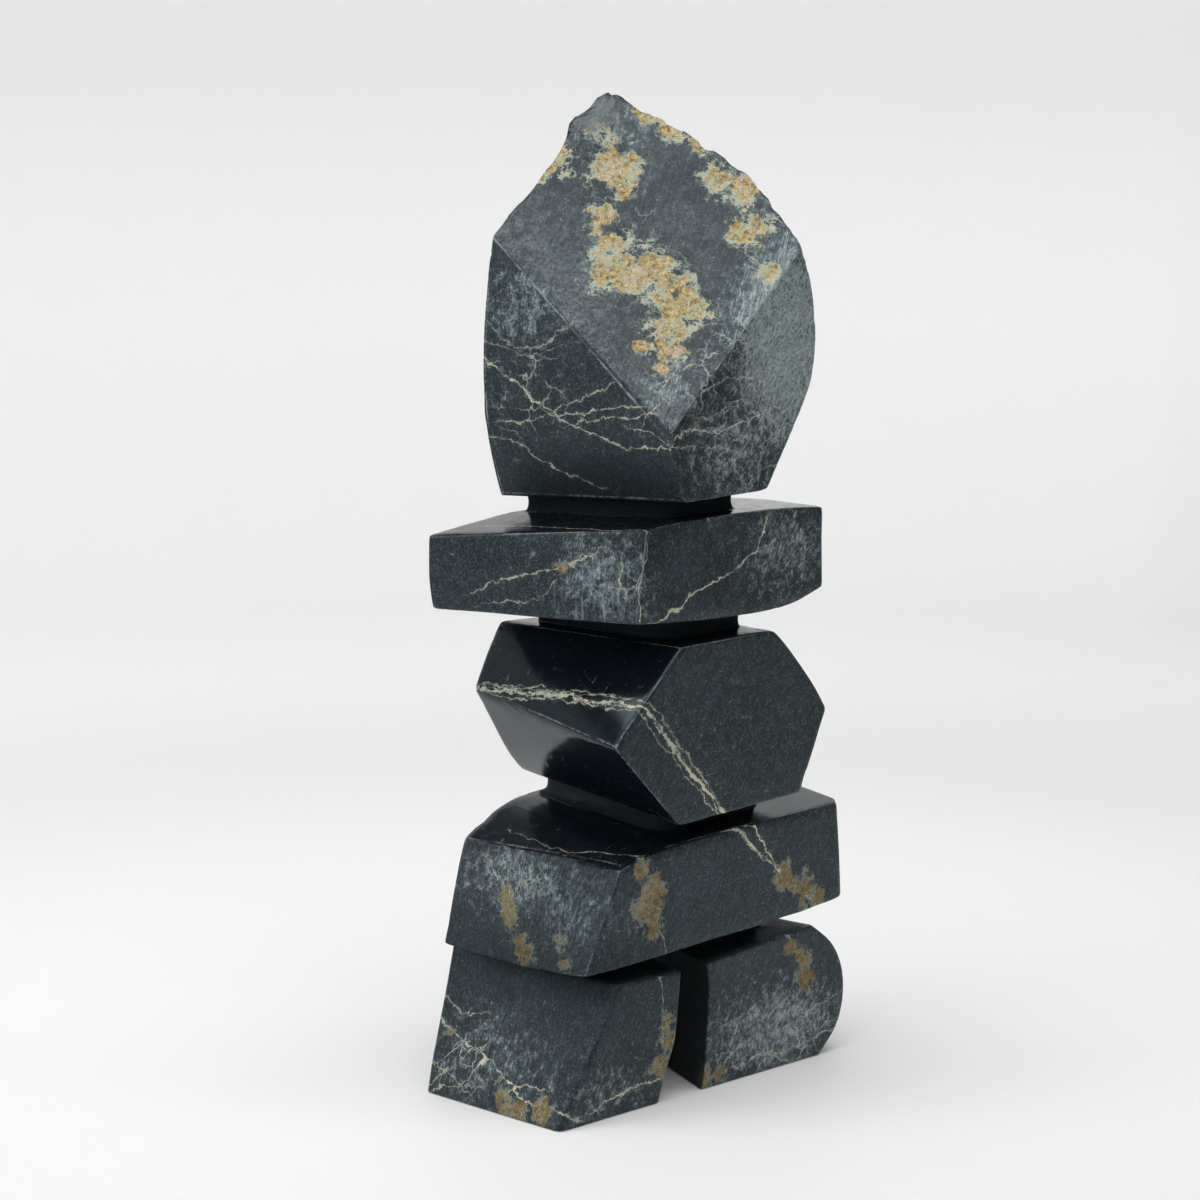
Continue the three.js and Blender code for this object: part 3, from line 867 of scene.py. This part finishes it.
wander = [cloud(9, 3, 0.55, shift, 1) for shift in ((5, 40, 0), (0, 15, 80))]
jitter = [cloud(3.0, 5, 0.7, shift, 1) for shift in ((60, 0, 9), (0, 66, 31))]
wanders = [channel for noise in wander for channel in wired("ShaderNodeSeparateXYZ", {0: noise}).outputs]
jitters = [channel for noise in jitter for channel in wired("ShaderNodeSeparateXYZ", {0: noise}).outputs]
swell = faded(cloud(3.4, 2, 0.6, (12, 8, 4)), 0.3, 0.7, 0.16, 1.15)
vein = halo = 0.0
for strand in range(len(wanders)):
    layer = skin.attributes.new(f"vein_{strand}", "FLOAT_VECTOR", "POINT")
    layer.data.foreach_set("vector", vein_field(strand).ravel().astype(np.float32))
    field = wired("ShaderNodeSeparateXYZ", {0: kept(f"vein_{strand}", "Vector")}).outputs
    across = swayed(swayed(field[0], wanders[strand], 6.0), jitters[strand], 4.2)
    reach = maths("DIVIDE", maths("ABSOLUTE", across), times(field[1], swell))
    vein = maths("MAXIMUM", times(faded(reach, 1.1, 0.45), field[2]), vein)
    halo = maths("MAXIMUM", times(faded(reach, 5, 0.5), field[2]), halo)
vein = times(vein, faded(cloud(2.6, 2, 0.6, (3, 22, 71)), 0.30, 0.50, 0.4, 1))
calcite_green = (0.42, 0.46, 0.35)
calcite_cream = (0.72, 0.66, 0.50)
halo_green = (0.17, 0.21, 0.19)
vein_colour = tinted(faded(broad, 0.35, 0.65), calcite_green, calcite_cream)
colour = tinted(times(halo, 0.13), colour, halo_green)
colour = tinted(vein, colour, vein_colour)

# ---- Ochre crust: the pits on the head, and stains lower down ----------------------------------------
stains = [
    (42, 0, 71, 5), (41, 0, 64, 6), (38, 0, 79, 3), (43, 0, 58, 3), (17, 43, 67, 3), (16, 40, 62, 4),
    (14, 33, 55, 3), (13, 30, 51, 4), (13, 14, 57, 3), (12, 11, 51, 3), (3, 27, 3, 4), (3, 20, 3, 4),
    (5, 30, 8, 3), (3, 10, 4, 3.5), (47, 0, 12, 4), (50, 0, 20, 4), (50, 2, 27, 3), (67, 0, 4, 5),
    (74, 0, 4, 3), (112, 0, 41, 3), (116, 0, 35, 4), (119, 0, 29, 4), (108, 0, 66, 5), (117, 0, 60, 5),
    (124, 0, 57, 4), (27, 26, 176, 1.8), (9, 60, 20, 2.5), (99, 4, 274, 2), (98, 1, 267, 2),
    (118, 44, 292, 5), (117, 52, 286, 4), (112, 60, 297, 5), (60, 70, 270, 5), (66, 70, 263, 4),
    (90, 70, 222, 5), (97, 70, 216, 4), (141, 50, 78, 4), (141, 44, 70, 3), (132, 46, 182, 4),
    (100, 70, 80, 4), (106, 70, 73, 3), (60, 68, 175, 4), (136, 34, 26, 4), (90, 66, 20, 4),
]
tear = {0: cloud(4.5, 4, 0.65, (21, 7, 50), 1), 1: (10, 10, 10), 2: moved(spot, (-5, -5, -5))}
ragged = wired("ShaderNodeVectorMath", tear, operation="MULTIPLY_ADD").outputs[0]
depth = -1.0
for x, y, z, reach in crust + stains:
    span = {0: ragged, 1: (x, y, z)}
    away = wired("ShaderNodeVectorMath", span, operation="DISTANCE").outputs["Value"]
    depth = maths("MAXIMUM", scaled(away, -1 / reach, 1.0), depth)
crumb = cloud(1.9, 5, 0.74, (1, 44, 17))
lumps = cloud(6.0, 4, 0.65, (90, 3, 17))
broken_depth = swayed(depth, cloud(6.0, 6, 0.66, (31, 2, 8)), 3.4, 0.52)
lace = faded(ridge(cloud(3.2, 4, 0.6, (7, 7, 99))), 0.045, 0.012)
lace = times(lace, faded(broken_depth, -0.75, -0.1))
border = maths("MAXIMUM", lace, faded(maths("ABSOLUTE", maths("ADD", broken_depth, 0.04)), 0.16, 0.05))
border = times(border, faded(cloud(7, 2, 0.5, (40, 40, 9)), 0.38, 0.52, 0.1, 0.9))
high = faded(wired("ShaderNodeSeparateXYZ", {0: spot}).outputs[2], 190, 230)
ochre_brown = (0.23, 0.125, 0.028)
ochre_gold = (0.60, 0.45, 0.17)
ochre_rose = (0.66, 0.53, 0.38)
ochre_cream = (0.82, 0.75, 0.53)
ochre_crack = (0.13, 0.085, 0.04)
ochre_stain = (0.088, 0.060, 0.016)
ochre_hollow = (0.10, 0.07, 0.035)
border_green = (0.48, 0.53, 0.40)
ochre = tinted(faded(crumb, 0.38, 0.58), ochre_brown, ochre_gold)
ochre = tinted(faded(lumps, 0.51, 0.62, 0, 0.7), ochre, ochre_rose)
ochre = tinted(faded(cloud(1.1, 4, 0.75, (4, 61, 12)), 0.52, 0.64, 0, 0.8), ochre, ochre_cream)
ochre = tinted(faded(ridge(cloud(3.2, 5, 0.75, (16, 6, 12))), 0.022, 0.004, 0, 0.75), ochre, ochre_crack)
ochre = tinted(high, tinted(0.72, ochre, ochre_stain), ochre)
ochre = tinted(faded(crumb, 0.40, 0.32, 0, 0.8), ochre, ochre_hollow)
crusty = faded(broken_depth, -0.04, 0.08)
colour = tinted(crusty, colour, ochre)
colour = tinted(times(border, scaled(high, 0.6, 0.35)), colour, border_green)

# ---- Old skin and worn edges: grey and dusty. Painted shade: black between the legs, under the hip and head, on the necks ---
rind_grey = (0.19, 0.215, 0.21)
painted_shade_black = (0.003, 0.004, 0.006)
edge_grey = (0.30, 0.34, 0.35)
dust = swayed(kept("rind"), mottle, 2.2)
colour = tinted(times(faded(dust, 0.35, 1.1), 0.7), colour, rind_grey)
# Painted shade: the stone is painted near black, and made rougher, where shade falls. This covers the gap
# between the legs, the overhang under the hip slab, the area under the head and the necks inside the cuts.
between_legs = (places[:, 0] > 56) & (places[:, 0] < 98) & (height < 46) & (outward[:, 1] > -0.6)
under_hip = 0.55 * hump(places, (16, 34, 47), (24, 60, 13))
under_head = 0.5 * hump(places, (50, 26, 200), (16, 44, 12))
note(cairn, "painted_shade", np.maximum(between_legs, np.maximum(under_hip, under_head)))
painted_shade = maths("MAXIMUM", kept("painted_shade"), kept("cut"))
colour = tinted(times(painted_shade, 0.85), colour, painted_shade_black)
from_edge = scaled(kept("edge"), -edge_reach, edge_reach)
from_edge = swayed(from_edge, cloud(1.3, 3, 0.6, (8, 55, 8)), 1.3)
uneven = faded(cloud(11, 2, 0.5, (2, 5, 8)), 0.36, 0.62, 0.08, 0.55)
edge_wear = times(faded(from_edge, 0.42, 0.08), uneven)
edge_wear = times(edge_wear, scaled(high, 0.7, 0.8), clamp=True)
colour = tinted(edge_wear, colour, edge_grey)
tree.links.new(colour, shader.inputs["Base Color"])

# ---- Polish: glossy in the saw cuts and on the belly's left, satin on the rest, dull on the crust ----
satin = 0.40
glossy = 0.17
gloss = faded(kept("polish_and_shade"), 0.2, 0.9, satin, glossy)
gloss = scaled(kept("slope_sheen"), 0.1, gloss)
gloss = scaled(painted_shade, 0.5, gloss)
gloss = swayed(gloss, mottle, 0.22)
gloss = scaled(maths("MAXIMUM", crusty, faded(dust, 0.3, 0.9)), 0.4, gloss)
gloss = scaled(maths("MAXIMUM", vein, edge_wear), 0.15, gloss, clamp=True)
tree.links.new(gloss, shader.inputs["Roughness"])
shader.inputs["IOR"].default_value = 1.43
shader.inputs["Specular Tint"].default_value = (0.72, 0.90, 1.0, 1)

# ---- Relief, in millimetres: grinding marks, grain, proud veins, crumbling crust ----------------------
relief = times(fleck, scaled(kept("polish_and_shade"), -0.034, 0.035))
relief = scaled(mottle, scaled(kept("polish_and_shade"), -0.087, 0.09), relief)
relief = scaled(vein, 0.03, relief)
crumbling = maths("MAXIMUM", crusty, faded(dust, 0.2, 0.9))
relief = scaled(times(maths("SUBTRACT", crumb, 0.5), crumbling), 0.9, relief)
relief = scaled(border, 0.08, relief)
relief = scaled(hair, -0.012, relief)
bump = wired("ShaderNodeBump", {"Height": relief, "Distance": 0.001, "Strength": 1.0})
tree.links.new(bump.outputs["Normal"], shader.inputs["Normal"])

# ==== Studio =========================================================================================
# A round white sweep: a level floor that curves up into a wall all round. Painted shade darkens the
# paper in a soft ring behind the figure, high on the wall, and on the wall to the right of the camera.


def turned(name, profile, count):
    """A surface of revolution: the profile's radius and height, carried round in equal steps."""
    angle = np.linspace(0, 2 * np.pi, count, endpoint=False)
    radius, height = np.array(profile).T
    x = radius[:, None] * np.cos(angle)
    y = radius[:, None] * np.sin(angle)
    z = np.broadcast_to(height[:, None], x.shape)
    points = np.stack([x, y, z], axis=-1).reshape(-1, 3)
    row, place = np.divmod(np.arange((len(radius) - 1) * count), count)
    beside = (place + 1) % count
    quads = np.stack([row * count + place, row * count + beside, (row + 1) * count + beside,
                      (row + 1) * count + place], 1)
    mesh = bpy.data.meshes.new(name)
    mesh.from_pydata(points.tolist(), [], quads.tolist())
    mesh.shade_smooth()
    thing = bpy.data.objects.new(name, mesh)
    bpy.context.scene.collection.objects.link(thing)
    return thing


floor_reach = 1.25
bend_radius = 0.45
bend = np.linspace(0, np.pi / 2, 25)
pin_hole = 0.0005
wall_heights = (0.7, 1.0, 1.6)
profile = [(pin_hole, 0)] + [(reach, 0) for reach in np.arange(0.05, floor_reach, 0.05)]
profile += [(floor_reach + bend_radius * math.sin(b), bend_radius * (1 - math.cos(b))) for b in bend]
profile += [(floor_reach + bend_radius, height) for height in wall_heights]
sweep = turned("sweep", profile, 128)
paper_places = points_of(sweep)
away = np.hypot(paper_places[:, 0], paper_places[:, 1])
heading = (paper_places[:, 0] - paper_places[:, 1]) / (away * math.sqrt(2))
ring = np.exp(-(((away - 0.60) / 0.22) ** 2))
up_the_wall = np.clip((paper_places[:, 2] - 0.2) / 0.3, 0, 1)
to_the_right = np.clip(heading - 0.3, 0, 0.5) / 0.5 * np.clip((away - 1.0) / 0.4, 0, 1)
# Painted shade on the paper: darker in the ring, up the wall and on the wall to the right of the camera.
note(sweep, "painted_paper_shade", 0.98 - 0.10 * ring - 0.10 * up_the_wall - 0.70 * to_the_right)
paper = bpy.data.materials.new("paper")
paper.use_nodes = True
paper_shader = paper.node_tree.nodes["Principled BSDF"]
paper_shader.inputs["Roughness"].default_value = 0.6
paper_shade_reader = paper.node_tree.nodes.new("ShaderNodeAttribute")
paper_shade_reader.attribute_name = "painted_paper_shade"
paper_white = paper.node_tree.nodes.new("ShaderNodeVectorMath")
paper_white.operation = "SCALE"
paper_white.inputs[0].default_value = (0.92, 0.92, 0.92)
paper.node_tree.links.new(paper_shade_reader.outputs["Fac"], paper_white.inputs["Scale"])
paper.node_tree.links.new(paper_white.outputs[0], paper_shader.inputs["Base Color"])
sweep.data.materials.append(paper)


def softbox(name, place, target, size, power, colour):
    """An area light of the given size that faces the target."""
    lamp = bpy.data.lights.new(name, "AREA")
    lamp.shape = "RECTANGLE"
    lamp.size, lamp.size_y = size
    lamp.energy = power
    lamp.color = colour
    thing = bpy.data.objects.new(name, lamp)
    thing.location = place
    away = np.array(place) - np.array(target)
    level = math.hypot(away[0], away[1])
    thing.rotation_euler = (math.atan2(level, away[2]), 0, math.atan2(away[0], -away[1]))
    bpy.context.scene.collection.objects.link(thing)


softbox("overhead", (-0.3, -0.35, 1.7), (0, 0, 0.1), (1.7, 1.7), 17.0, (1.0, 0.995, 0.985))
softbox("back", (0.1, 0.1, 1.85), (1.3, 1.3, 0.2), (2.0, 0.7), 16, (1.0, 1.0, 1.0))
softbox("left", (-1.2, 0.3, 1.0), (0, 0, 0.15), (0.9, 1.2), 4, (0.97, 0.99, 1.0))

world = bpy.data.worlds.new("studio")
bpy.context.scene.world = world
world.use_nodes = True
world.node_tree.nodes["Background"].inputs["Color"].default_value = (0.95, 0.98, 1.0, 1)
world.node_tree.nodes["Background"].inputs["Strength"].default_value = 0.16
bpy.context.scene.view_settings.view_transform = "Standard"

# ---- Camera: 45 degrees to the left of the front, looking 7 degrees down ---------------------------
camera_data = bpy.data.cameras.new("camera")
camera_data.sensor_width = 36
camera_data.lens = 88.3
camera = bpy.data.objects.new("camera", camera_data)
camera.location = in_frame((-630.8, -649.2, 284.5))
camera.rotation_euler = (math.radians(90 - 7.17), 0, math.radians(-45))
bpy.context.scene.collection.objects.link(camera)
bpy.context.scene.camera = camera
